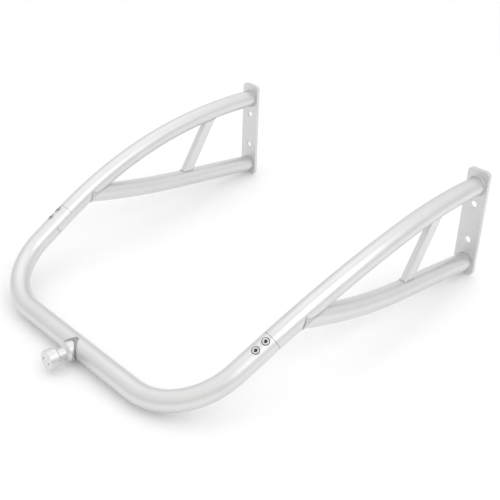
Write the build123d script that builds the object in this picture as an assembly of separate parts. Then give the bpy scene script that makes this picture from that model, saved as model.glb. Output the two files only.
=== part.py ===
from build123d import *
import math
import os

# Transom tow bar: a bowed tube bolted to two triangulated arms that reach back from a boat's
# transom. Millimetres, +Z up. The origin is the centre of the four bolt holes, on the transom
# face. The arms reach back along -Y, and X runs across the boat. Every piece on the right is
# mirrored to the left.

# Tube stock
TUBE_OD = 50.8
TUBE_WALL = 3.2

# Layout at the transom
ARM_SPACING = 865.0
TOP_TUBE_HEIGHT = 106.0
LOWER_TUBE_HEIGHT = -119.0

# Top tube: two tangent bends, then the straight run that carries the splice and starts the bow
FIRST_BEND_DEG = 11.5
FIRST_BEND_RADIUS = 1415.0
SECOND_BEND_RADIUS = 1420.0
FALL_DEG = 28.2
INWARD_DEG = 7.0
SPLICE_RUN = 108.0

# Bow
BOW_CORNER_RADIUS = 180.0

# Lower tube: a rising straight, then one bend that meets the top tube's centre line
LOWER_RISE_DEG = 4.2
LOWER_STRAIGHT = 300.0
MERGE_BEFORE_SPLICE_RUN = 75.0

# Mount plates
PLATE_THICKNESS = 9.5
PLATE_WIDTH = 66.0
PLATE_ABOVE_TOP_TUBE = 46.0
PLATE_BELOW_LOWER_TUBE = 32.0
PLATE_CORNER_RADIUS = 14.0
PLATE_EDGE_CHAMFER = 1.0
BOLT_ROW_SPACING = 105.0
BOLT_HOLE_DIAMETER = 19.0
BOLT_HOLE_CHAMFER = 0.8

# Brace: rectangular tube leaning between the two round ones
BRACE_WIDTH = 19.0
BRACE_DEPTH = 32.0
BRACE_WALL = 2.5
BRACE_CORNER_RADIUS = 3.5
BRACE_FOOT_FROM_PLATE = 276.0
BRACE_HEAD_FROM_PLATE = 157.0

# Splice: a half lap over solid inserts, closed by two socket-head screws
LAP_LENGTH = 59.0
LAP_INTO_RUN = 2.0
LAP_END_GAP = 0.8
LAP_ROLL_DEG = 21.0
INSERT_GRIP = 30.0
INSERT_CLEARANCE = 0.05
INSERT_END_CHAMFER = 1.5
SCREW_SPACING = 29.0
SCREW_DIAMETER = 10.0
SCREW_LENGTH = 30.0
SCREW_HEAD_DIAMETER = 16.0
SCREW_HEAD_HEIGHT = 10.0
SCREW_HEAD_CHAMFER = 0.8
SCREW_SOCKET_FLATS = 8.0
SCREW_SOCKET_DEPTH = 5.0
SCREW_POINT_CHAMFER = 1.2
COUNTERBORE_CLEARANCE = 1.6
SCREW_HOLE_CLEARANCE = 0.5
TAPPED_HOLE_EXTRA = 2.0

# Tow point
BOSS_DIAMETER = 47.0
BOSS_REACH = 33.0
BOSS_FLARE = 7.0
NECK_DIAMETER = 30.0
NECK_REACH = 59.0
KNOB_DIAMETER = 48.0
KNOB_LENGTH = 27.5
KNOB_BACK_CHAMFER = 4.0
KNOB_FRONT_CHAMFER = 1.5
STUD_DIAMETER = 16.0
STUD_IN_BOSS = 24.0
STUD_IN_KNOB = 18.0
STUD_END_CHAMFER = 1.5
SPANNER_HOLE_DIAMETER = 4.5
SPANNER_HOLE_DEPTH = 6.0
SPANNER_HOLE_SPACING = 21.0
SPANNER_HOLE_TURN_DEG = -16.0

# Weld beads: how far each one stands out from the two surfaces that it joins, and its gap to them
PLATE_WELD_SIZE = 4.0
TUBE_WELD_SIZE = 2.5
BOSS_WELD_SIZE = 3.0
WELD_FIT = 0.02

# Derived sizes
TUBE_RADIUS = TUBE_OD / 2
BORE_RADIUS = TUBE_RADIUS - TUBE_WALL
INSERT_RADIUS = BORE_RADIUS - INSERT_CLEARANCE
ARM_X = ARM_SPACING / 2
PLATE_FRONT_Y = -PLATE_THICKNESS
AFT = Vector(0, -1, 0)
ACROSS = Vector(1, 0, 0)
UP = Vector(0, 0, 1)
BEYOND = 2 * TUBE_OD


class Route:
    """A tube's centre line, drawn as straight runs and tangent bends.

    The seam is the side of the tube on which a swept surface starts and closes.
    """

    def __init__(self, start, heading, seam):
        self.point = start
        self.heading = heading.normalized()
        self.seam = seam
        self.edges = []

    def straight(self, length):
        """Run on along the present heading."""
        end = self.point + self.heading * length
        self.edges.append(Line(self.point, end).edge())
        self.point = end
        return self

    def bend(self, new_heading, radius):
        """Turn on a tangent arc until the route points along new_heading."""
        new_heading = new_heading.normalized()
        turn = math.radians(self.heading.get_angle(new_heading))
        side = (new_heading - self.heading * self.heading.dot(new_heading)).normalized()

        def at(angle):
            forward = self.heading * (radius * math.sin(angle))
            sideways = side * (radius * (1 - math.cos(angle)))
            return self.point + forward + sideways

        end = at(turn)
        self.edges.append(ThreePointArc(self.point, at(turn / 2), end).edge())
        self.point = end
        self.heading = new_heading
        return self

    def bend_to(self, target):
        """Turn on the one tangent arc that ends at target."""
        chord = target - self.point
        half_turn = math.radians(self.heading.get_angle(chord))
        along = chord.normalized()
        new_heading = along * (2 * self.heading.dot(along)) - self.heading
        return self.bend(new_heading, chord.length / 2 / math.sin(half_turn))

    def swept(self, radius):
        """The solid round bar of this radius along the whole route."""
        start = self.edges[0] @ 0
        profile = Plane(origin=start, x_dir=self.seam, z_dir=self.edges[0] % 0) * Circle(radius)
        return sweep(profile, path=Wire(self.edges))


def falling(fall_deg, inward_deg=0.0):
    """A heading that falls from AFT and turns towards the centre of the boat."""
    fall = math.radians(fall_deg)
    inward = math.radians(inward_deg)
    return Vector(
        -math.sin(inward),
        -math.cos(inward) * math.cos(fall),
        -math.cos(inward) * math.sin(fall),
    )


LEG_HEADING = falling(FALL_DEG, INWARD_DEG)


def arm_start(height, back_off=0.0):
    """Where a tube's centre line leaves the right plate, set back into it by back_off."""
    return Vector(ARM_X, PLATE_FRONT_Y + back_off, height)


def top_route():
    """The right top tube's centre line, as far as the start of the splice run."""
    route = Route(arm_start(TOP_TUBE_HEIGHT), AFT, UP)
    route.bend(falling(FIRST_BEND_DEG), FIRST_BEND_RADIUS)
    route.bend(LEG_HEADING, SECOND_BEND_RADIUS)
    return route


LAP_START = top_route().point + LEG_HEADING * LAP_INTO_RUN
LAP_END = LAP_START + LEG_HEADING * LAP_LENGTH


def point_along(route, distance):
    """The point at a distance along a route's edges."""
    for edge in route.edges:
        if distance <= edge.length:
            return edge @ (distance / edge.length)
        distance -= edge.length
    return route.point


def top_tube_length():
    """Length of the top centre line from the plate to the splice run."""
    return sum(edge.length for edge in top_route().edges)


def merge_point():
    """Where the lower tube's centre line meets the top one."""
    return point_along(top_route(), top_tube_length() - MERGE_BEFORE_SPLICE_RUN)


def lower_route(back_off=0.0):
    """The right lower tube's centre line, set back into the plate by back_off."""
    rise = math.radians(LOWER_RISE_DEG)
    heading = Vector(0, -math.cos(rise), math.sin(rise))
    start = arm_start(LOWER_TUBE_HEIGHT) - heading * back_off
    route = Route(start, heading, UP)
    route.straight(LOWER_STRAIGHT + back_off)
    route.bend_to(merge_point())
    return route


def lap_plane():
    """The half lap's plane: x along the tube, z the way the screws come in."""
    level = UP - LEG_HEADING * LEG_HEADING.Z
    outward = LEG_HEADING.cross(level.normalized()) * -1
    if outward.X < 0:
        outward = outward * -1
    roll = math.radians(LAP_ROLL_DEG)
    screw_side = level.normalized() * math.cos(roll) + outward.normalized() * math.sin(roll)
    return Plane(origin=LAP_START, x_dir=LEG_HEADING, z_dir=screw_side)


LAP = lap_plane()


def on_lap(part):
    """Move a part drawn in the lap's own frame to its place in the model."""
    return LAP.location * part


def lap_bar(start, end, radius):
    """A round bar along the splice's axis, between two distances from the lap's start."""
    return on_lap(Pos(start, 0, 0) * Rot(0, 90, 0) * Cylinder(
        radius, end - start, align=(Align.CENTER, Align.CENTER, Align.MIN)))


def lap_half(start, end, upper):
    """A block over one half of the splice, above or below the lap plane."""
    base = Align.MIN if upper else Align.MAX
    block = Box(end - start, BEYOND, BEYOND, align=(Align.MIN, Align.CENTER, base))
    return on_lap(Pos(start, 0, 0) * block)


def screw_places():
    """Distances from the lap's start to its two screws."""
    middle = LAP_LENGTH / 2
    return (middle - SCREW_SPACING / 2, middle + SCREW_SPACING / 2)


def screw_seat_height():
    """Height above the lap plane at which the screws seat, their heads level with the tube."""
    return TUBE_RADIUS - SCREW_HEAD_HEIGHT


def upright(radius, bottom, top):
    """A cylinder along the lap's z axis between two heights."""
    return Pos(0, 0, bottom) * Cylinder(
        radius, top - bottom, align=(Align.CENTER, Align.CENTER, Align.MIN))


def screw_bores():
    """Counterbores and clearance holes that pass through the upper half of the lap."""
    seat = screw_seat_height()
    bore = upright(SCREW_DIAMETER / 2 + SCREW_HOLE_CLEARANCE, -1, seat + 1)
    bore += upright(SCREW_HEAD_DIAMETER / 2 + COUNTERBORE_CLEARANCE, seat, BEYOND)
    return [on_lap(Pos(place, 0, 0) * bore) for place in screw_places()]


def tapped_holes():
    """Holes in the lower half of the lap, at the screws' own diameter."""
    depth = SCREW_LENGTH - screw_seat_height() + TAPPED_HOLE_EXTRA
    hole = upright(SCREW_DIAMETER / 2, -depth, BEYOND)
    return [on_lap(Pos(place, 0, 0) * hole) for place in screw_places()]


def top_tube_bar(radius, end_distance=LAP_LENGTH):
    """The top tube's route as a solid bar that stops end_distance past the lap's start."""
    route = top_route()
    route.straight(LAP_INTO_RUN + end_distance)
    return route.swept(radius)


def top_tube():
    """The right top tube, half cut away where the bow laps over it."""
    tube = top_tube_bar(TUBE_RADIUS, LAP_LENGTH - LAP_END_GAP)
    tube -= top_tube_bar(BORE_RADIUS, LAP_LENGTH - LAP_END_GAP)
    return tube - lap_half(-LAP_END_GAP, LAP_LENGTH + 1, True)


def lower_tube():
    """The right lower tube, square to the plate and coped under the top tube."""
    route = lower_route(PLATE_THICKNESS)
    tube = route.swept(TUBE_RADIUS) - route.swept(BORE_RADIUS)
    behind = Box(BEYOND, BEYOND, BEYOND, align=(Align.CENTER, Align.MIN, Align.CENTER))
    tube -= Pos(ARM_X, PLATE_FRONT_Y, LOWER_TUBE_HEIGHT) * behind
    return tube - top_tube_bar(TUBE_RADIUS)


def bow_bar(radius):
    """The bow's route, from one lap to the other, as a solid bar."""
    mirrored = Vector(-LEG_HEADING.X, LEG_HEADING.Y, LEG_HEADING.Z)
    route = Route(LAP_START, LEG_HEADING, UP).straight(SPLICE_RUN - LAP_INTO_RUN)
    route.bend(ACROSS * -1, BOW_CORNER_RADIUS)
    route.straight(2 * route.point.X)
    route.bend(mirrored * -1, BOW_CORNER_RADIUS)
    route.straight(SPLICE_RUN - LAP_INTO_RUN)
    return route.swept(radius)


def bow_tube():
    """The one-piece bow, half cut away at each end where it laps over an arm."""
    tube = bow_bar(TUBE_RADIUS) - bow_bar(BORE_RADIUS)
    cuts = [lap_half(-1, LAP_LENGTH, False), *screw_bores()]
    for cut in cuts:
        tube -= cut
        tube -= mirror(cut, about=Plane.YZ)
    return tube


def arm_insert():
    """The plug that follows the top tube's last bend, with the tapped lower half of the lap."""
    last_bend = top_route().edges[-1]
    share = 1 - (INSERT_GRIP - LAP_INTO_RUN) / last_bend.length
    route = Route(last_bend @ share, last_bend % share, UP)
    route.bend(LEG_HEADING, SECOND_BEND_RADIUS)
    route.straight(LAP_INTO_RUN + LAP_LENGTH - LAP_END_GAP)
    plug = route.swept(INSERT_RADIUS)
    plug -= lap_half(-LAP_END_GAP, LAP_LENGTH + 1, True)
    for hole in tapped_holes():
        plug -= hole
    return plug


def bow_insert():
    """The straight plug in the bow's end, with the counterbored upper half of the lap."""
    plug = lap_bar(0, LAP_LENGTH + INSERT_GRIP, INSERT_RADIUS)
    hidden_end = LAP_END + LEG_HEADING * INSERT_GRIP
    plug = chamfer(plug.faces().sort_by_distance(hidden_end)[0].edges(), INSERT_END_CHAMFER)
    plug -= lap_half(-1, LAP_LENGTH, False)
    for bore in screw_bores():
        plug -= bore
    return plug


def socket_screw():
    """One socket-head cap screw, its seat at height 0 and its shank below."""
    head = upright(SCREW_HEAD_DIAMETER / 2, 0, SCREW_HEAD_HEIGHT)
    head = chamfer(head.edges().sort_by(Axis.Z)[-1], SCREW_HEAD_CHAMFER)
    shank = upright(SCREW_DIAMETER / 2, -SCREW_LENGTH, 0)
    shank = chamfer(shank.edges().sort_by(Axis.Z)[0], SCREW_POINT_CHAMFER)
    flats = RegularPolygon(SCREW_SOCKET_FLATS / 2, 6, major_radius=False)
    socket = Pos(0, 0, SCREW_HEAD_HEIGHT - SCREW_SOCKET_DEPTH) * extrude(flats, SCREW_SOCKET_DEPTH + 1)
    return head + shank - socket


def splice_screws():
    """The two screws of the right splice."""
    seat = screw_seat_height()
    return Compound(children=[
        on_lap(Pos(place, 0, seat) * socket_screw()) for place in screw_places()
    ])


def plate_centre_height():
    """Height of the middle of a mount plate."""
    top = TOP_TUBE_HEIGHT + PLATE_ABOVE_TOP_TUBE
    bottom = LOWER_TUBE_HEIGHT - PLATE_BELOW_LOWER_TUBE
    return (top + bottom) / 2


def plate_height():
    """Height of a mount plate."""
    span = TOP_TUBE_HEIGHT - LOWER_TUBE_HEIGHT
    return span + PLATE_ABOVE_TOP_TUBE + PLATE_BELOW_LOWER_TUBE


def mount_plate():
    """The right transom plate, with its two bolt holes."""
    outline = RectangleRounded(PLATE_WIDTH, plate_height(), PLATE_CORNER_RADIUS)
    face = Plane(origin=(ARM_X, 0, plate_centre_height()), x_dir=(1, 0, 0), z_dir=(0, -1, 0))
    plate = extrude(face * outline, PLATE_THICKNESS)
    front = plate.faces().sort_by(Axis.Y)[0]
    plate = chamfer(front.edges(), PLATE_EDGE_CHAMFER)
    for height in (-BOLT_ROW_SPACING / 2, BOLT_ROW_SPACING / 2):
        plate -= bolt_hole(height)
    return plate


def bolt_hole(height):
    """A through hole with its front rim broken; the back rim stays sharp against the transom."""
    start = Plane(origin=(ARM_X, 0, height), x_dir=(1, 0, 0), z_dir=(0, -1, 0))
    radius = BOLT_HOLE_DIAMETER / 2
    cutter = turned(
        (0, -1),
        (radius, -1),
        (radius, PLATE_THICKNESS - BOLT_HOLE_CHAMFER),
        (radius + BOLT_HOLE_CHAMFER + 1, PLATE_THICKNESS + 1),
        (0, PLATE_THICKNESS + 1),
    )
    return start.location * cutter


def brace_ends():
    """Where the brace's centre line meets the lower and top centre lines."""
    foot = point_along(lower_route(), BRACE_FOOT_FROM_PLATE)
    head = point_along(top_route(), BRACE_HEAD_FROM_PLATE)
    return foot, head


def brace_bar(grown=0.0, hollow=False):
    """The brace as a straight bar between the two centre lines, grown all round."""
    foot, head = brace_ends()
    axis = head - foot
    section = Plane(origin=foot, x_dir=ACROSS, z_dir=axis)
    inset = BRACE_WALL if hollow else 0.0
    outline = RectangleRounded(
        BRACE_WIDTH + 2 * (grown - inset),
        BRACE_DEPTH + 2 * (grown - inset),
        BRACE_CORNER_RADIUS + grown - inset,
    )
    return extrude(section * outline, axis.length)


def brace():
    """The right brace, coped to both tubes."""
    bar = brace_bar() - brace_bar(hollow=True)
    bar -= lower_route().swept(TUBE_RADIUS)
    return bar - top_tube_bar(TUBE_RADIUS)


def ring_weld(radius, size):
    """A fillet ring round a tube that stands on a plane, its root at the origin."""
    outline = Polyline(
        (radius, -size),
        (radius + size, -size),
        (radius + size, 0),
        (radius + size / 4, size / 4),
        (radius, size),
        close=True,
    )
    return revolve(make_face(Plane.XZ * outline), Axis.Z)


def plate_welds():
    """The fillet rings that join the right top and lower tubes to the plate."""
    plate_side = Box(BEYOND, BEYOND, BEYOND, align=(Align.CENTER, Align.MIN, Align.CENTER))
    rings = []
    for route in (top_route(), lower_route()):
        root = route.edges[0] @ 0
        ring = Plane(origin=root, z_dir=route.edges[0] % 0).location * ring_weld(
            TUBE_RADIUS, PLATE_WELD_SIZE)
        ring -= route.swept(TUBE_RADIUS)
        rings.append(ring - Pos(root.X, PLATE_FRONT_Y, root.Z) * plate_side)
    return Compound(children=rings)


def seam_weld(first_grown, first, second_grown, second):
    """The bead that lies within reach of two surfaces and outside both pieces."""
    return (first_grown - first) & (second_grown - second)


def brace_welds():
    """The beads round the right brace's foot and head."""
    size = TUBE_WELD_SIZE
    grown = brace_bar(size)
    solid = brace_bar(WELD_FIT)
    reach = TUBE_RADIUS + size
    inner = TUBE_RADIUS + WELD_FIT
    lower = lower_route()
    foot = seam_weld(grown, solid, lower.swept(reach), lower.swept(inner))
    head = seam_weld(grown, solid, top_tube_bar(reach), top_tube_bar(inner))
    return Compound(children=[foot, head])


def merge_weld():
    """The bead round the lower tube's coped end, under the top tube."""
    reach = TUBE_RADIUS + TUBE_WELD_SIZE
    inner = TUBE_RADIUS + WELD_FIT
    lower = lower_route()
    return seam_weld(
        lower.swept(reach), lower.swept(inner), top_tube_bar(reach), top_tube_bar(inner))


def crossbar_point():
    """The middle of the bow's crossbar."""
    route = Route(LAP_START, LEG_HEADING, UP).straight(SPLICE_RUN - LAP_INTO_RUN)
    route.bend(ACROSS * -1, BOW_CORNER_RADIUS)
    return Vector(0, route.point.Y, route.point.Z)


def on_tow_axis(part):
    """Place a part drawn along +Z on the tow axis, which runs aft from the crossbar."""
    axis = Plane(origin=crossbar_point(), x_dir=ACROSS, z_dir=AFT)
    return axis.location * part


def crossbar_bar(radius):
    """A round bar through the crossbar at the tow point."""
    centre = crossbar_point()
    return Pos(centre) * Rot(0, 90, 0) * Cylinder(radius, 2 * BOSS_DIAMETER)


def turned(*points):
    """A solid of revolution about +Z from a closed outline of radius and height."""
    return revolve(make_face(Plane.XZ * Polyline(*points, close=True)), Axis.Z)


def boss_blank(grown=0.0):
    """The boss before it is coped: base, flare and neck, grown sideways."""
    base = BOSS_DIAMETER / 2 + grown
    neck = NECK_DIAMETER / 2 + grown
    return turned(
        (0, 0),
        (base, 0),
        (base, BOSS_REACH),
        (neck, BOSS_REACH + BOSS_FLARE),
        (neck, NECK_REACH),
        (0, NECK_REACH),
    )


def tow_boss():
    """The turned boss, coped to the crossbar and tapped for the stud."""
    hole = upright(STUD_DIAMETER / 2, NECK_REACH - STUD_IN_BOSS, NECK_REACH + 1)
    boss = on_tow_axis(boss_blank() - hole)
    return boss - crossbar_bar(TUBE_RADIUS)


def tow_boss_weld():
    """The bead between the boss and the crossbar."""
    return seam_weld(
        on_tow_axis(boss_blank(BOSS_WELD_SIZE)),
        on_tow_axis(boss_blank(WELD_FIT)),
        crossbar_bar(TUBE_RADIUS + BOSS_WELD_SIZE),
        crossbar_bar(TUBE_RADIUS + WELD_FIT),
    )


def tow_knob():
    """The head that keeps the rope on the neck, with two pin-spanner holes."""
    radius = KNOB_DIAMETER / 2
    front = NECK_REACH + KNOB_LENGTH
    head = turned(
        (0, NECK_REACH),
        (radius - KNOB_BACK_CHAMFER, NECK_REACH),
        (radius, NECK_REACH + KNOB_BACK_CHAMFER),
        (radius, front - KNOB_FRONT_CHAMFER),
        (radius - KNOB_FRONT_CHAMFER, front),
        (0, front),
    )
    head -= upright(STUD_DIAMETER / 2, NECK_REACH - 1, NECK_REACH + STUD_IN_KNOB)
    hole = upright(SPANNER_HOLE_DIAMETER / 2, front - SPANNER_HOLE_DEPTH, front + 1)
    for place in (-SPANNER_HOLE_SPACING / 2, SPANNER_HOLE_SPACING / 2):
        head -= Rot(0, 0, SPANNER_HOLE_TURN_DEG) * Pos(place, 0, 0) * hole
    return on_tow_axis(head)


def tow_stud():
    """The threaded stud that holds the knob on the boss."""
    stud = upright(STUD_DIAMETER / 2, NECK_REACH - STUD_IN_BOSS, NECK_REACH + STUD_IN_KNOB)
    rims = stud.edges().filter_by(GeomType.CIRCLE)
    return on_tow_axis(chamfer(rims, STUD_END_CHAMFER))


RIGHT_PARTS = {
    "top_tube": top_tube,
    "lower_tube": lower_tube,
    "brace": brace,
    "mount_plate": mount_plate,
    "arm_insert": arm_insert,
    "bow_insert": bow_insert,
    "splice_screws": splice_screws,
    "plate_welds": plate_welds,
    "brace_welds": brace_welds,
    "merge_weld": merge_weld,
}

CENTRE_PARTS = {
    "bow_tube": bow_tube,
    "tow_boss": tow_boss,
    "tow_boss_weld": tow_boss_weld,
    "tow_knob": tow_knob,
    "tow_stud": tow_stud,
}


def main():
    """Write every node of the tow bar to its own file."""
    os.makedirs("parts", exist_ok=True)
    for name, build in CENTRE_PARTS.items():
        export_step(build(), f"parts/{name}.step")
    for name, build in RIGHT_PARTS.items():
        right = build()
        export_step(right, f"parts/right_{name}.step")
        export_step(mirror(right, about=Plane.YZ), f"parts/left_{name}.step")


main()
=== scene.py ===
"""Looks of the transom tow bar: satin tubes, drilled plates, screws, weld beads and tow knob.

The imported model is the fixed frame. Its tubes, plates and turned pieces keep their shapes and get
their finishes here. The weld beads and the splice screws are made again in finer detail, each in
the place of the solid that stands for it.
"""
from __future__ import annotations

import logging
import math
from abc import ABC, abstractmethod
from dataclasses import dataclass, field
from enum import Enum
from typing import Any

import bmesh
import bpy
import numpy as np
from mathutils import Matrix, Vector

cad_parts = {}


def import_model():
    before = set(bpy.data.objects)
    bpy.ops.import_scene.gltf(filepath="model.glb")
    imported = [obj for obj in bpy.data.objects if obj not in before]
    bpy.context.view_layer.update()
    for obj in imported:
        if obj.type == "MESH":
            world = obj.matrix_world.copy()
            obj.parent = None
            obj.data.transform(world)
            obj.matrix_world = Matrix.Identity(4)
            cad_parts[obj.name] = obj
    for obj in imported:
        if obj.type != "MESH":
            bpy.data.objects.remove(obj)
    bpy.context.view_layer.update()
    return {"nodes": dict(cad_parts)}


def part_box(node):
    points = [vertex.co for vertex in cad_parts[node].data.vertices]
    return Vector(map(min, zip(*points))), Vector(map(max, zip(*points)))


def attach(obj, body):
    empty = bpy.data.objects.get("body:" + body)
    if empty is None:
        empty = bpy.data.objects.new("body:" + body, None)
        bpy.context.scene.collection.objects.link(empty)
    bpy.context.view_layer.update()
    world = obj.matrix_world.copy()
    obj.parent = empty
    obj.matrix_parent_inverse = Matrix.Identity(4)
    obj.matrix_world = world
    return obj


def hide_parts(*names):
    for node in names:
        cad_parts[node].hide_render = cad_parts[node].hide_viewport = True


LOG = logging.getLogger("tow_bar")
MM = 0.001
BODY = "root"
MERGE_DISTANCE = 0.002 * MM
CREVICE_SAMPLES = 8

# A colour Mix node's sockets share their names, so they are told apart by place.
MIX_SHARE, MIX_FIRST, MIX_SECOND = 0, 6, 7
MIX_RESULT = 2


class Side(Enum):
    """The two arms, by the prefix of their nodes' names."""

    RIGHT = "right"
    LEFT = "left"

    def node(self, name: str) -> str:
        """The full name of this side's node."""
        return f"{self.value}_{name}"


def linear(hex_colour: str) -> tuple[float, float, float, float]:
    """Turn an sRGB hex colour into linear RGBA.

    Args:
        hex_colour: Six hex digits, with or without a leading hash.

    Returns:
        The colour as linear red, green and blue, with an alpha of 1.
    """
    digits = hex_colour.lstrip("#")
    channels = [int(digits[i:i + 2], 16) / 255 for i in (0, 2, 4)]
    lin = [c / 12.92 if c <= 0.04045 else ((c + 0.055) / 1.055) ** 2.4 for c in channels]
    return (lin[0], lin[1], lin[2], 1.0)


def add_node(tree: bpy.types.NodeTree, kind: str, settings: dict[str, Any] | None = None,
             links: dict[str | int, Any] | None = None) -> bpy.types.Node:
    """Add one node to a tree.

    Args:
        tree: The material, world or geometry node tree.
        kind: The node's type identifier.
        settings: Attributes of the node, set before its inputs.
        links: Inputs by name or index; a socket is linked, any other value is set.

    Returns:
        The new node.
    """
    node = tree.nodes.new(kind)
    for name, value in (settings or {}).items():
        setattr(node, name, value)
    for name, value in (links or {}).items():
        socket = node.inputs[name]
        if isinstance(value, bpy.types.NodeSocket):
            tree.links.new(value, socket)
        else:
            socket.default_value = value
    return node


class Finish(ABC):
    """A surface finish that builds its own material once."""

    name: str

    def material(self) -> bpy.types.Material:
        """Return this finish's material, building it the first time."""
        existing = bpy.data.materials.get(self.name)
        if existing is not None:
            return existing
        made = bpy.data.materials.new(self.name)
        made.use_nodes = True
        made.node_tree.nodes.clear()
        shader = self.shader(made.node_tree)
        add_node(made.node_tree, "ShaderNodeOutputMaterial", links={"Surface": shader})
        return made

    @abstractmethod
    def shader(self, tree: bpy.types.NodeTree) -> bpy.types.NodeSocket:
        """Build the finish's nodes and return its surface socket."""


def crevice_share(tree: bpy.types.NodeTree, reach: float, shut: float = 0.08,
                  clear: float = 0.42) -> bpy.types.NodeSocket:
    """How open a point is, from 0 deep in a crevice to 1 on an open face; the finishes paint shade
    into their colour by it.

    Args:
        tree: The material's node tree.
        reach: How far the test looks for nearby surfaces, in metres.
        shut: The open share of the sky below which a point is deep in a crevice.
        clear: The open share above which it is on an open face.

    Returns:
        A socket with the share.
    """
    occlusion = add_node(tree, "ShaderNodeAmbientOcclusion", {"samples": CREVICE_SAMPLES}, {
        "Distance": reach,
    })
    curve = add_node(tree, "ShaderNodeMapRange", {"interpolation_type": "SMOOTHSTEP"}, {
        "Value": occlusion.outputs["AO"],
        "From Min": shut,
        "From Max": clear,
    })
    return curve.outputs["Result"]


@dataclass(frozen=True)
class SatinAnodised(Finish):
    """Clear-anodised aluminium, etched satin first: soft highlights and a faint cloudiness, with
    painted shade in crevices.
    """

    name: str = "satin_anodised_aluminium"
    light: str = "#E1E1E0"
    shade: str = "#D9D9D9"
    # Painted shade: the colour that crevices, seams and counterbores are darkened to.
    crevice: str = "#222223"
    roughness: float = 0.36
    roughness_swing: float = 0.05
    cloud: float = 55 * MM
    cloud_detail: float = 3.0
    cloud_roughness: float = 0.55
    grain: float = 0.9 * MM
    grain_detail: float = 2.0
    grain_depth: float = 0.012 * MM
    grain_strength: float = 0.6
    crevice_reach: float = 5 * MM

    def shader(self, tree: bpy.types.NodeTree) -> bpy.types.NodeSocket:
        """Build cloudy colour with painted shade in its crevices, and roughness over an etched
        grain.

        Args:
            tree: The material's node tree.

        Returns:
            The Principled BSDF's output.
        """
        place = add_node(tree, "ShaderNodeTexCoord").outputs["Object"]
        clouds = add_node(tree, "ShaderNodeTexNoise", None, {
            "Vector": place,
            "Scale": 1 / self.cloud,
            "Detail": self.cloud_detail,
            "Roughness": self.cloud_roughness,
        })
        tone = add_node(tree, "ShaderNodeMix", {"data_type": "RGBA"}, {
            MIX_SHARE: clouds.outputs["Fac"],
            MIX_FIRST: linear(self.shade),
            MIX_SECOND: linear(self.light),
        })
        # Painted shade: the tone darkens to the crevice colour where the surface is hemmed in.
        tone_with_painted_shade = add_node(tree, "ShaderNodeMix", {"data_type": "RGBA"}, {
            MIX_SHARE: crevice_share(tree, self.crevice_reach),
            MIX_FIRST: linear(self.crevice),
            MIX_SECOND: tone.outputs[MIX_RESULT],
        })
        gloss = add_node(tree, "ShaderNodeMapRange", None, {
            "Value": clouds.outputs["Fac"],
            "To Min": self.roughness - self.roughness_swing,
            "To Max": self.roughness + self.roughness_swing,
        })
        # The etch is finer than a tenth of a millimetre; it is drawn coarser so that it shows.
        grain = add_node(tree, "ShaderNodeTexNoise", None, {
            "Vector": place, "Scale": 1 / self.grain, "Detail": self.grain_detail,
        })
        bump = add_node(tree, "ShaderNodeBump", None, {
            "Height": grain.outputs["Fac"],
            "Distance": self.grain_depth,
            "Strength": self.grain_strength,
        })
        surface = add_node(tree, "ShaderNodeBsdfPrincipled", None, {
            "Base Color": tone_with_painted_shade.outputs[MIX_RESULT],
            "Roughness": gloss.outputs["Result"],
            "Normal": bump.outputs["Normal"],
            "Metallic": 1.0,
        })
        return surface.outputs["BSDF"]


@dataclass(frozen=True)
class TurnedAluminium(Finish):
    """Lathe-turned aluminium: fine tool rings about the tow axis, brighter than the tubes."""

    name: str = "turned_aluminium"
    colour: str = "#D2D2D2"
    # Painted shade: the colour that the knob's holes and corners are darkened to.
    crevice: str = "#3E3E40"
    roughness: float = 0.3
    centre: tuple[float, float, float] = (0.0, 0.0, 0.0)
    feed: float = 0.5 * MM
    ring_depth: float = 0.01 * MM
    ring_strength: float = 0.5
    crevice_reach: float = 5 * MM
    crevice_shut: float = 0.2
    crevice_clear: float = 0.6

    def shader(self, tree: bpy.types.NodeTree) -> bpy.types.NodeSocket:
        """Build tool rings that run round the tow axis on faces and flanks alike, and paint shade
        into holes.

        Args:
            tree: The material's node tree.

        Returns:
            The Principled BSDF's output.
        """
        place = add_node(tree, "ShaderNodeTexCoord").outputs["Object"]
        centred = add_node(tree, "ShaderNodeVectorMath", {"operation": "SUBTRACT"}, {
            0: place, 1: self.centre,
        })
        parts = add_node(tree, "ShaderNodeSeparateXYZ", None, {0: centred.outputs[0]})
        flat = add_node(tree, "ShaderNodeCombineXYZ", None, {
            "X": parts.outputs["X"], "Z": parts.outputs["Z"],
        })
        radius = add_node(tree, "ShaderNodeVectorMath", {"operation": "LENGTH"}, {
            0: flat.outputs[0],
        })
        travel = add_node(tree, "ShaderNodeMath", {"operation": "ADD"}, {
            0: radius.outputs["Value"], 1: parts.outputs["Y"],
        })
        turns = add_node(tree, "ShaderNodeMath", {"operation": "MULTIPLY"}, {
            0: travel.outputs[0], 1: 2 * math.pi / self.feed,
        })
        wave = add_node(tree, "ShaderNodeMath", {"operation": "SINE"}, {0: turns.outputs[0]})
        bump = add_node(tree, "ShaderNodeBump", None, {
            "Height": wave.outputs[0],
            "Distance": self.ring_depth,
            "Strength": self.ring_strength,
        })
        # Painted shade: the metal darkens in holes and corners.
        tone_with_painted_shade = add_node(tree, "ShaderNodeMix", {"data_type": "RGBA"}, {
            MIX_SHARE: crevice_share(
                tree, self.crevice_reach, self.crevice_shut, self.crevice_clear),
            MIX_FIRST: linear(self.crevice),
            MIX_SECOND: linear(self.colour),
        })
        surface = add_node(tree, "ShaderNodeBsdfPrincipled", None, {
            "Base Color": tone_with_painted_shade.outputs[MIX_RESULT],
            "Roughness": self.roughness,
            "Normal": bump.outputs["Normal"],
            "Metallic": 1.0,
        })
        return surface.outputs["BSDF"]


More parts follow.
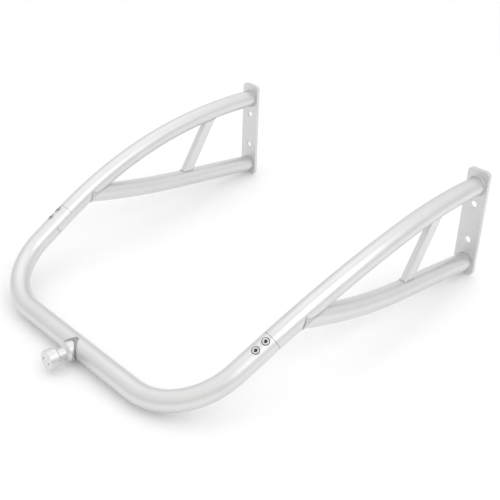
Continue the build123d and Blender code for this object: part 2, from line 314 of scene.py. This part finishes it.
@dataclass(frozen=True)
class WeldMetal(Finish):
    """Aluminium weld metal, brushed clean: a little duller and rougher than the tube."""

    name: str = "brushed_aluminium_weld"
    light: str = "#D6D6D5"
    shade: str = "#BEBEBF"
    roughness: float = 0.42
    mottle: float = 3 * MM
    mottle_detail: float = 4.0
    pit_depth: float = 0.03 * MM
    pit_strength: float = 0.5

    def shader(self, tree: bpy.types.NodeTree) -> bpy.types.NodeSocket:
        """Build a mottled, slightly pitted metal.

        Args:
            tree: The material's node tree.

        Returns:
            The Principled BSDF's output.
        """
        place = add_node(tree, "ShaderNodeTexCoord").outputs["Object"]
        mottle = add_node(tree, "ShaderNodeTexNoise", None, {
            "Vector": place, "Scale": 1 / self.mottle, "Detail": self.mottle_detail,
        })
        tone = add_node(tree, "ShaderNodeMix", {"data_type": "RGBA"}, {
            MIX_SHARE: mottle.outputs["Fac"],
            MIX_FIRST: linear(self.shade),
            MIX_SECOND: linear(self.light),
        })
        bump = add_node(tree, "ShaderNodeBump", None, {
            "Height": mottle.outputs["Fac"],
            "Distance": self.pit_depth,
            "Strength": self.pit_strength,
        })
        surface = add_node(tree, "ShaderNodeBsdfPrincipled", None, {
            "Base Color": tone.outputs[MIX_RESULT],
            "Roughness": self.roughness,
            "Normal": bump.outputs["Normal"],
            "Metallic": 1.0,
        })
        return surface.outputs["BSDF"]


@dataclass(frozen=True)
class StainlessSteel(Finish):
    """Cold-headed stainless steel: bright, with drawn scratches too faint to follow one by one."""

    name: str = "bright_stainless_steel"
    light: str = "#DEDEDF"
    shade: str = "#CACACC"
    # Painted shade: the near-black that the socket and the gap round the head are darkened to.
    crevice: str = "#101011"
    roughness: float = 0.24
    scratch: float = 1.2 * MM
    scratch_detail: float = 3.0
    scratch_bend: float = 0.6
    crevice_reach: float = 9 * MM
    crevice_shut: float = 0.24
    crevice_clear: float = 0.62

    def shader(self, tree: bpy.types.NodeTree) -> bpy.types.NodeSocket:
        """Build a bright steel with painted shade in its socket and round its rim.

        Args:
            tree: The material's node tree.

        Returns:
            The Principled BSDF's output.
        """
        place = add_node(tree, "ShaderNodeTexCoord").outputs["Object"]
        noise = add_node(tree, "ShaderNodeTexNoise", None, {
            "Vector": place,
            "Scale": 1 / self.scratch,
            "Detail": self.scratch_detail,
            "Distortion": self.scratch_bend,
        })
        tone = add_node(tree, "ShaderNodeMix", {"data_type": "RGBA"}, {
            MIX_SHARE: noise.outputs["Fac"],
            MIX_FIRST: linear(self.shade),
            MIX_SECOND: linear(self.light),
        })
        # Painted shade: the steel darkens in its socket and round its rim.
        tone_with_painted_shade = add_node(tree, "ShaderNodeMix", {"data_type": "RGBA"}, {
            MIX_SHARE: crevice_share(
                tree, self.crevice_reach, self.crevice_shut, self.crevice_clear),
            MIX_FIRST: linear(self.crevice),
            MIX_SECOND: tone.outputs[MIX_RESULT],
        })
        surface = add_node(tree, "ShaderNodeBsdfPrincipled", None, {
            "Base Color": tone_with_painted_shade.outputs[MIX_RESULT],
            "Roughness": self.roughness,
            "Metallic": 1.0,
        })
        return surface.outputs["BSDF"]


@dataclass(frozen=True)
class PaleFloor(Finish):
    """Smooth white paint: a plain floor that takes soft shadows."""

    name: str = "white_floor_paint"
    colour: str = "#FBFBFB"
    roughness: float = 0.9
    specular_level: float = 0.1

    def shader(self, tree: bpy.types.NodeTree) -> bpy.types.NodeSocket:
        """Build a plain matt white.

        Args:
            tree: The material's node tree.

        Returns:
            The Principled BSDF's output.
        """
        surface = add_node(tree, "ShaderNodeBsdfPrincipled", None, {
            "Base Color": linear(self.colour),
            "Roughness": self.roughness,
            "Specular IOR Level": self.specular_level,
        })
        return surface.outputs["BSDF"]


def dress(obj: bpy.types.Object, finish: Finish) -> None:
    """Put one finish on every material slot of an object."""
    if not obj.material_slots:
        obj.data.materials.append(finish.material())
    for holder in obj.material_slots:
        holder.material = finish.material()


def new_piece(name: str, mesh: bpy.types.Mesh) -> bpy.types.Object:
    """Link a new object at the origin that shows a mesh."""
    piece = bpy.data.objects.new(name, mesh)
    bpy.context.scene.collection.objects.link(piece)
    return piece


def baked(piece: bpy.types.Object) -> None:
    """Replace a piece's mesh by what its modifiers make of it, and drop the modifiers."""
    graph = bpy.context.evaluated_depsgraph_get()
    mesh = bpy.data.meshes.new_from_object(piece.evaluated_get(graph))
    piece.modifiers.clear()
    piece.data = mesh


def merged_copy(node: bpy.types.Object, name: str) -> bpy.types.Mesh:
    """Copy a frame node's mesh with its loose triangles joined up.

    Args:
        node: The frame node's object.
        name: The new mesh's name.

    Returns:
        A closed mesh in the row frame.
    """
    work = bmesh.new()
    work.from_mesh(node.data)
    bmesh.ops.remove_doubles(work, verts=work.verts, dist=MERGE_DISTANCE)
    mesh = bpy.data.meshes.new(name)
    work.to_mesh(mesh)
    work.free()
    return mesh


def coordinates(mesh: bpy.types.Mesh) -> np.ndarray:
    """A mesh's vertex places as an array of rows."""
    flat = np.empty(len(mesh.vertices) * 3)
    mesh.vertices.foreach_get("co", flat)
    return flat.reshape(-1, 3)


def islands(mesh: bpy.types.Mesh) -> list[np.ndarray]:
    """Split a mesh into its connected shells.

    Args:
        mesh: A mesh whose doubles are merged.

    Returns:
        The vertex places of each shell.
    """
    parent = list(range(len(mesh.vertices)))

    def root(i: int) -> int:
        """Follow a vertex to its shell's first one."""
        while parent[i] != i:
            parent[i] = parent[parent[i]]
            i = parent[i]
        return i

    for edge in mesh.edges:
        first, second = (root(i) for i in edge.vertices)
        parent[first] = second
    groups: dict[int, list[int]] = {}
    for i in range(len(parent)):
        groups.setdefault(root(i), []).append(i)
    places = coordinates(mesh)
    return [places[group] for group in groups.values()]


@dataclass
class TubeFrame:
    """The bent tubes and braces, which keep the frame's own shapes."""

    nodes: dict[str, bpy.types.Object]
    finish: SatinAnodised = field(default_factory=SatinAnodised)
    # The arms' finish paints a much paler shade into its crevices.
    arm_finish: SatinAnodised = SatinAnodised(name="satin_anodised_arm", crevice="#A8A8A9")
    names: tuple[str, ...] = ("top_tube", "lower_tube", "brace")

    def build(self) -> None:
        """Dress the bow and both arms' tubes."""
        dress(self.nodes["bow_tube"], self.finish)
        for side in Side:
            for name in self.names:
                dress(self.nodes[side.node(name)], self.arm_finish)
        LOG.info("tube frame: dressed %d nodes", 1 + len(Side) * len(self.names))


@dataclass
class MountPlates:
    """The two drilled plates."""

    nodes: dict[str, bpy.types.Object]
    finish: SatinAnodised = field(default_factory=lambda: SatinAnodised(
        name="satin_anodised_plate", light="#DEDEDE", shade="#D6D6D6", roughness=0.42))

    def build(self) -> None:
        """Dress both plates."""
        for side in Side:
            dress(self.nodes[side.node("mount_plate")], self.finish)
        LOG.info("mount plates: dressed 2 nodes")


@dataclass
class TowPoint:
    """The boss, the stud and the knob, turned about one axis."""

    nodes: dict[str, bpy.types.Object]

    def build(self) -> None:
        """Dress the turned pieces with rings about the knob's own axis."""
        low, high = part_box("tow_knob")
        centre = tuple((a + b) / 2 for a, b in zip(low, high))
        finish = TurnedAluminium(centre=centre)
        for name in ("tow_boss", "tow_knob"):
            dress(self.nodes[name], finish)
        dress(self.nodes["tow_stud"], StainlessSteel())
        LOG.info("tow point: dressed 3 nodes")


@dataclass
class Inserts:
    """The solid plugs inside the splices, seen only in the laps' seams."""

    nodes: dict[str, bpy.types.Object]
    finish: SatinAnodised = field(default_factory=lambda: SatinAnodised(
        name="machined_insert", light="#C8C8C8", shade="#BDBDBD", roughness=0.3))

    def build(self) -> None:
        """Dress the four inserts."""
        for side in Side:
            for name in ("arm_insert", "bow_insert"):
                dress(self.nodes[side.node(name)], self.finish)
        LOG.info("inserts: dressed 4 nodes")


@dataclass
class WeldBeads:
    """Fillet beads with the even ripples that a filler rod leaves."""

    nodes: dict[str, bpy.types.Object]
    finish: WeldMetal = field(default_factory=WeldMetal)
    # Painted shade: the bead round the boss is darkened all over to stand for the shadow beside the
    # boss.
    boss_weld_painted_shade_finish: WeldMetal = WeldMetal(
        name="boss_weld_painted_shade", light="#BDBDBE", shade="#858587", roughness=0.5)
    voxel: float = 0.55 * MM
    smoothing: int = 14
    smoothing_share: float = 0.5
    ripple_pitch: float = 3.2 * MM
    ripple_height: float = 0.28 * MM
    fewest_ripples: int = 8

    def names(self) -> list[str]:
        """The nodes that are weld beads."""
        return [name for name in sorted(self.nodes) if "weld" in name]

    def build(self) -> None:
        """Make a rippled bead in place of each plain one."""
        for name in self.names():
            piece = self.bead(name)
            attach(piece, BODY)
            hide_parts(name)
            LOG.info("weld bead: %s, %d faces", piece.name, len(piece.data.polygons))

    def bead(self, name: str) -> bpy.types.Object:
        """Round one node's plain beads and press ripples into them.

        Args:
            name: The frame node.

        Returns:
            The finished bead, a plain mesh.
        """
        piece = new_piece(f"{name}_bead", merged_copy(self.nodes[name], name))
        shells = islands(piece.data)
        remesh = piece.modifiers.new("even_grid", "REMESH")
        remesh.mode = "VOXEL"
        remesh.voxel_size = self.voxel
        remesh.use_smooth_shade = True
        smooth = piece.modifiers.new("melt", "SMOOTH")
        smooth.factor = self.smoothing_share
        smooth.iterations = self.smoothing
        baked(piece)
        self.ripple(piece.data, shells)
        piece.data.materials.clear()
        dress(piece, self.boss_weld_painted_shade_finish if name == "tow_boss_weld" else self.finish)
        return piece

    def ripple(self, mesh: bpy.types.Mesh, shells: list[np.ndarray]) -> None:
        """Move the surface in and out along the seam.

        Args:
            mesh: The smooth bead or beads of one node.
            shells: The vertex places of each bead before it was smoothed.
        """
        frames = [self.ring_frame(shell) for shell in shells]
        places = coordinates(mesh)
        normals = np.empty(places.size)
        mesh.vertex_normals.foreach_get("vector", normals)
        gaps = [((places - frame[0]) ** 2).sum(axis=1) for frame in frames]
        nearest = np.argmin(gaps, axis=0)
        lift = np.zeros(len(places))
        for index, (centre, across, along, radius) in enumerate(frames):
            own = nearest == index
            offset = places[own] - centre
            angle = np.arctan2(offset @ along, offset @ across)
            count = max(self.fewest_ripples, round(2 * math.pi * radius / self.ripple_pitch))
            crest = np.abs(np.sin(angle * count / 2))
            lift[own] = self.ripple_height * (crest - 2 / math.pi)
        moved = places + normals.reshape(-1, 3) * lift[:, None]
        mesh.vertices.foreach_set("co", moved.ravel())
        mesh.update()

    def ring_frame(self, shell: np.ndarray) -> tuple[np.ndarray, np.ndarray, np.ndarray, float]:
        """The centre, the two long directions and the mean radius of a ring-shaped bead.

        Args:
            shell: The bead's vertex places.

        Returns:
            Centre, first direction, second direction and radius.
        """
        centre = shell.mean(axis=0)
        directions = np.linalg.svd(shell - centre, full_matrices=False)[2]
        radius = float(np.linalg.norm(shell - centre, axis=1).mean())
        return centre, directions[0], directions[1], radius


@dataclass
class SpliceScrews:
    """Socket-head cap screws with knurled heads, two to a splice."""

    nodes: dict[str, bpy.types.Object]
    finish: StainlessSteel = field(default_factory=StainlessSteel)
    head_radius: float = 8 * MM
    head_height: float = 10 * MM
    shank_radius: float = 5 * MM
    length: float = 30 * MM
    socket_flats: float = 8 * MM
    socket_depth: float = 6 * MM
    knurls: int = 36
    knurl_depth: float = 0.22 * MM
    sides: int = 144
    crown_chamfer: float = 0.8 * MM
    crown_round: float = 0.25 * MM
    underhead_break: float = 0.3 * MM
    knurl_start: float = 0.5 * MM
    knurl_end: float = 2 * MM
    tip_chamfer: float = 1.2 * MM
    socket_lead: float = 0.5 * MM
    socket_point: float = 1.5 * MM
    crease_deg: float = 32.0
    inputs: tuple[tuple[str, str], ...] = (
        ("Screw", "Object"), ("Count", "Int"), ("First Seat", "Vector"),
        ("Step", "Vector"), ("Axis", "Vector"), ("Finish", "Material"))

    def build(self) -> None:
        """Set two finished screws in each splice."""
        screw = self.screw_object()
        tree = self.placing_tree()
        for side in Side:
            node = side.node("splice_screws")
            piece = self.placed(side, node, screw, tree)
            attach(piece, BODY)
            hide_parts(node)
            LOG.info("splice screws: %s, %d faces", piece.name, len(piece.data.polygons))
        bpy.data.objects.remove(screw)

    def ring(self, work: bmesh.types.BMesh, radius: float, height: float,
             knurled: bool = False) -> list[bmesh.types.BMVert]:
        """One round ring of vertices, knurled if asked."""
        verts = []
        for i in range(self.sides):
            angle = 2 * math.pi * i / self.sides
            cut = self.knurl_depth * (0.5 + 0.5 * math.cos(angle * self.knurls)) if knurled else 0.0
            reach = radius - cut
            verts.append(work.verts.new((reach * math.cos(angle), reach * math.sin(angle), height)))
        return verts

    def hexagon(self, work: bmesh.types.BMesh, height: float) -> list[bmesh.types.BMVert]:
        """One ring round the socket's six flats, with as many points as the round ones."""
        verts = []
        for i in range(self.sides):
            angle = 2 * math.pi * i / self.sides
            in_face = (angle + math.pi / 6) % (math.pi / 3) - math.pi / 6
            reach = self.socket_flats / 2 / math.cos(in_face)
            verts.append(work.verts.new((reach * math.cos(angle), reach * math.sin(angle), height)))
        return verts

    def screw_object(self) -> bpy.types.Object:
        """Build one screw, its seat at height 0 and its head above.

        Returns:
            The screw, as a closed mesh.
        """
        work = bmesh.new()
        top = self.head_height
        tip = -self.length
        socket_floor = top - self.socket_depth
        corner_radius = self.socket_flats / 2 / math.cos(math.pi / 6)
        rings = [
            self.ring(work, self.shank_radius - self.tip_chamfer, tip),
            self.ring(work, self.shank_radius, tip + self.tip_chamfer),
            self.ring(work, self.shank_radius, 0.0),
            self.ring(work, self.head_radius - self.underhead_break, 0.0),
            self.ring(work, self.head_radius, self.knurl_start, knurled=True),
            self.ring(work, self.head_radius, top - self.knurl_end, knurled=True),
            self.ring(work, self.head_radius, top - self.crown_chamfer),
            self.ring(work, self.head_radius - self.crown_round, top - self.crown_round),
            self.ring(work, self.head_radius - self.crown_chamfer, top),
            self.ring(work, corner_radius + self.socket_lead, top),
            self.hexagon(work, top - self.socket_lead),
            self.hexagon(work, socket_floor),
        ]
        for lower, upper in zip(rings, rings[1:]):
            for i in range(self.sides):
                j = (i + 1) % self.sides
                work.faces.new((lower[i], lower[j], upper[j], upper[i]))
        for rim, height in ((rings[0], tip), (rings[-1], socket_floor - self.socket_point)):
            pole = work.verts.new((0, 0, height))
            for i in range(self.sides):
                work.faces.new((rim[i], rim[(i + 1) % self.sides], pole))
        bmesh.ops.recalc_face_normals(work, faces=work.faces)
        mesh = bpy.data.meshes.new("cap_screw")
        work.to_mesh(mesh)
        work.free()
        mesh.shade_smooth()
        mesh.set_sharp_from_angle(angle=math.radians(self.crease_deg))
        return new_piece("cap_screw", mesh)

    def placing_tree(self) -> bpy.types.NodeTree:
        """Build the tree that sets equal screws in a straight row.

        Returns:
            The geometry node tree, with named inputs.
        """
        tree = bpy.data.node_groups.new("screws_in_a_row", "GeometryNodeTree")
        for name, kind in self.inputs:
            tree.interface.new_socket(name, in_out="INPUT", socket_type=f"NodeSocket{kind}")
        tree.interface.new_socket("Geometry", in_out="OUTPUT", socket_type="NodeSocketGeometry")
        given = add_node(tree, "NodeGroupInput").outputs
        row = add_node(tree, "GeometryNodeMeshLine", {"mode": "OFFSET"}, {
            "Count": given["Count"],
            "Start Location": given["First Seat"],
            "Offset": given["Step"],
        })
        screw = add_node(tree, "GeometryNodeObjectInfo", None, {"Object": given["Screw"]})
        turn = add_node(tree, "FunctionNodeAlignRotationToVector", {"axis": "Z"}, {
            "Vector": given["Axis"],
        })
        copies = add_node(tree, "GeometryNodeInstanceOnPoints", None, {
            "Points": row.outputs["Mesh"],
            "Instance": screw.outputs["Geometry"],
            "Rotation": turn.outputs["Rotation"],
        })
        real = add_node(tree, "GeometryNodeRealizeInstances", None, {
            "Geometry": copies.outputs["Instances"],
        })
        dressed = add_node(tree, "GeometryNodeSetMaterial", None, {
            "Geometry": real.outputs["Geometry"], "Material": given["Finish"],
        })
        add_node(tree, "NodeGroupOutput", None, {"Geometry": dressed.outputs["Geometry"]})
        return tree

    def seats(self, node: str) -> tuple[list[Vector], Vector]:
        """Find where a node's screws sit and which way they point.

        Args:
            node: The frame node that holds the plain screws.

        Returns:
            The seat of each screw, and the direction from shank to head.
        """
        found = []
        axis = Vector((0, 0, 1))
        for shell in islands(merged_copy(self.nodes[node], f"{node}_copy")):
            middle = shell.mean(axis=0)
            line = np.linalg.svd(shell - middle, full_matrices=False)[2][0]
            heights = (shell - middle) @ line
            spread = np.linalg.norm((shell - middle) - np.outer(heights, line), axis=1)
            if heights[int(np.argmax(spread))] < 0:
                line, heights = -line, -heights
            foot = middle + line * heights.min()
            axis = Vector(line)
            found.append(Vector(foot) + axis * self.length)
        return found, axis

    def placed(self, side: Side, node: str, screw: bpy.types.Object,
               tree: bpy.types.NodeTree) -> bpy.types.Object:
        """Set one splice's screws and turn them into a plain mesh.

        Args:
            side: The arm.
            node: The frame node that the screws stand for.
            screw: The finished screw.
            tree: The placing tree.

        Returns:
            The finished pair of screws.
        """
        seats, axis = self.seats(node)
        piece = new_piece(side.node("cap_screws"), bpy.data.meshes.new(side.node("cap_screws")))
        modifier = piece.modifiers.new("row", "NODES")
        modifier.node_group = tree
        values = {
            "Screw": screw,
            "Count": len(seats),
            "First Seat": seats[0],
            "Step": seats[1] - seats[0],
            "Axis": axis,
            "Finish": self.finish.material(),
        }
        for item in tree.interface.items_tree:
            if item.in_out == "INPUT":
                modifier[item.identifier] = values[item.name]
        baked(piece)
        return piece


@dataclass
class Studio:
    """A pale floor, soft light and the camera."""

    floor_half_width: float = 30.0
    floor_front: float = 30.0
    floor_behind: float = 4.0
    floor_gap: float = 5 * MM
    rest_behind_bow: float = 35 * MM
    tent: tuple[tuple[float, float], ...] = (
        (0.0, 0.72), (0.3, 0.84), (0.8, 1.0), (1.0, 1.0))
    tent_strength: float = 1.06
    lamp_target: tuple[float, float, float] = (0.0, -0.5, -0.1)
    lamp_rows: tuple[tuple[str, tuple[float, float, float], float, float], ...] = (
        ("top_softbox", (-0.9, -0.3, 2.6), 2.4, 4.0),
        ("side_softbox", (2.2, -0.6, 2.1), 2.1, 12.5),
    )
    camera_place: tuple[float, float, float] = (1.4394, -1.7803, 0.9673)
    azimuth_deg: float = 42.59
    elevation_deg: float = 27.94
    roll_deg: float = -3.78
    lens: float = 59.8
    sensor_width: float = 36.0
    shift: tuple[float, float] = (-0.0933, -0.0214)

    def build(self) -> None:
        """Set up floor, light and camera."""
        self.floor()
        self.sky()
        self.lamps()
        self.camera()
        bpy.context.scene.view_settings.view_transform = "Standard"
        LOG.info("studio: floor, light and camera")

    def floor(self) -> None:
        """Lay the floor under the bow and the plates' feet, which stand on it together."""
        bow_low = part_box("bow_tube")[0]
        plate_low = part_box("right_mount_plate")[0]
        drop = plate_low[2] - bow_low[2]
        back = Vector((0, plate_low[1], plate_low[2]))
        run = plate_low[1] - (bow_low[1] + self.rest_behind_bow)
        slope = math.atan2(drop, run)
        mesh = bpy.data.meshes.new("floor")
        half = self.floor_half_width
        front, behind = -self.floor_front, self.floor_behind
        along = Vector((0, math.cos(slope), math.sin(slope)))
        corners = []
        for x, y in ((-half, front), (half, front), (half, behind), (-half, behind)):
            corners.append(Vector((x, 0, -self.floor_gap)) + back + along * y)
        mesh.from_pydata(corners, [], [(0, 1, 2, 3)])
        floor = new_piece("floor", mesh)
        dress(floor, PaleFloor())

    def sky(self) -> None:
        """Light the room like a white tent that grows brighter towards its roof."""
        world = bpy.data.worlds.new("studio")
        bpy.context.scene.world = world
        world.use_nodes = True
        tree = world.node_tree
        tree.nodes.clear()
        way = add_node(tree, "ShaderNodeTexCoord").outputs["Generated"]
        height = add_node(tree, "ShaderNodeSeparateXYZ", None, {0: way}).outputs["Z"]
        ramp = add_node(tree, "ShaderNodeValToRGB", None, {"Fac": height})
        ramp.color_ramp.interpolation = "EASE"
        stops = ramp.color_ramp.elements
        while len(stops) < len(self.tent):
            stops.new(1.0)
        for stop, (rise, share) in zip(stops, self.tent):
            stop.position = rise
            stop.color = (share, share, share, 1.0)
        glow = add_node(tree, "ShaderNodeBackground", None, {
            "Color": ramp.outputs["Color"], "Strength": self.tent_strength,
        })
        add_node(tree, "ShaderNodeOutputWorld", None, {"Surface": glow.outputs[0]})

    def lamps(self) -> None:
        """Hang a large softbox overhead and a second one high beyond the right arm."""
        for name, place, size, power in self.lamp_rows:
            self.softbox(name, place, size, power)

    def softbox(self, name: str, place: tuple[float, float, float], size: float,
                power: float) -> None:
        """Hang one square area light.

        Args:
            name: The light's name.
            place: Its centre.
            size: Its side in metres.
            power: Its power in watts.
        """
        data = bpy.data.lights.new(name, "AREA")
        data.shape = "SQUARE"
        data.size = size
        data.energy = power
        lamp = bpy.data.objects.new(name, data)
        aim = (Vector(self.lamp_target) - Vector(place)).to_track_quat("-Z", "Y")
        lamp.matrix_world = Matrix.LocRotScale(Vector(place), aim, None)
        bpy.context.scene.collection.objects.link(lamp)

    def camera(self) -> None:
        """Place the camera above and to the right of the bow."""
        azimuth = math.radians(self.azimuth_deg)
        elevation = math.radians(self.elevation_deg)
        roll = math.radians(self.roll_deg)
        back = Vector((
            math.sin(azimuth) * math.cos(elevation),
            -math.cos(azimuth) * math.cos(elevation),
            math.sin(elevation),
        ))
        right = Vector((math.cos(azimuth), math.sin(azimuth), 0))
        up = back.cross(right)
        turned_right = right * math.cos(roll) - up * math.sin(roll)
        turned_up = right * math.sin(roll) + up * math.cos(roll)
        data = bpy.data.cameras.new("camera")
        data.sensor_width = self.sensor_width
        data.lens = self.lens
        data.shift_x, data.shift_y = self.shift
        camera = bpy.data.objects.new("camera", data)
        turn = Matrix((turned_right, turned_up, back)).transposed()
        camera.matrix_world = Matrix.Translation(self.camera_place) @ turn.to_4x4()
        bpy.context.scene.collection.objects.link(camera)
        bpy.context.scene.camera = camera


def main() -> None:
    """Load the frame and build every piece's looks."""
    logging.basicConfig(level=logging.INFO, format="%(name)s: %(message)s")
    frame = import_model()
    nodes = frame["nodes"]
    TubeFrame(nodes).build()
    MountPlates(nodes).build()
    Inserts(nodes).build()
    TowPoint(nodes).build()
    WeldBeads(nodes).build()
    SpliceScrews(nodes).build()
    Studio().build()


if __name__ == "__main__":
    main()
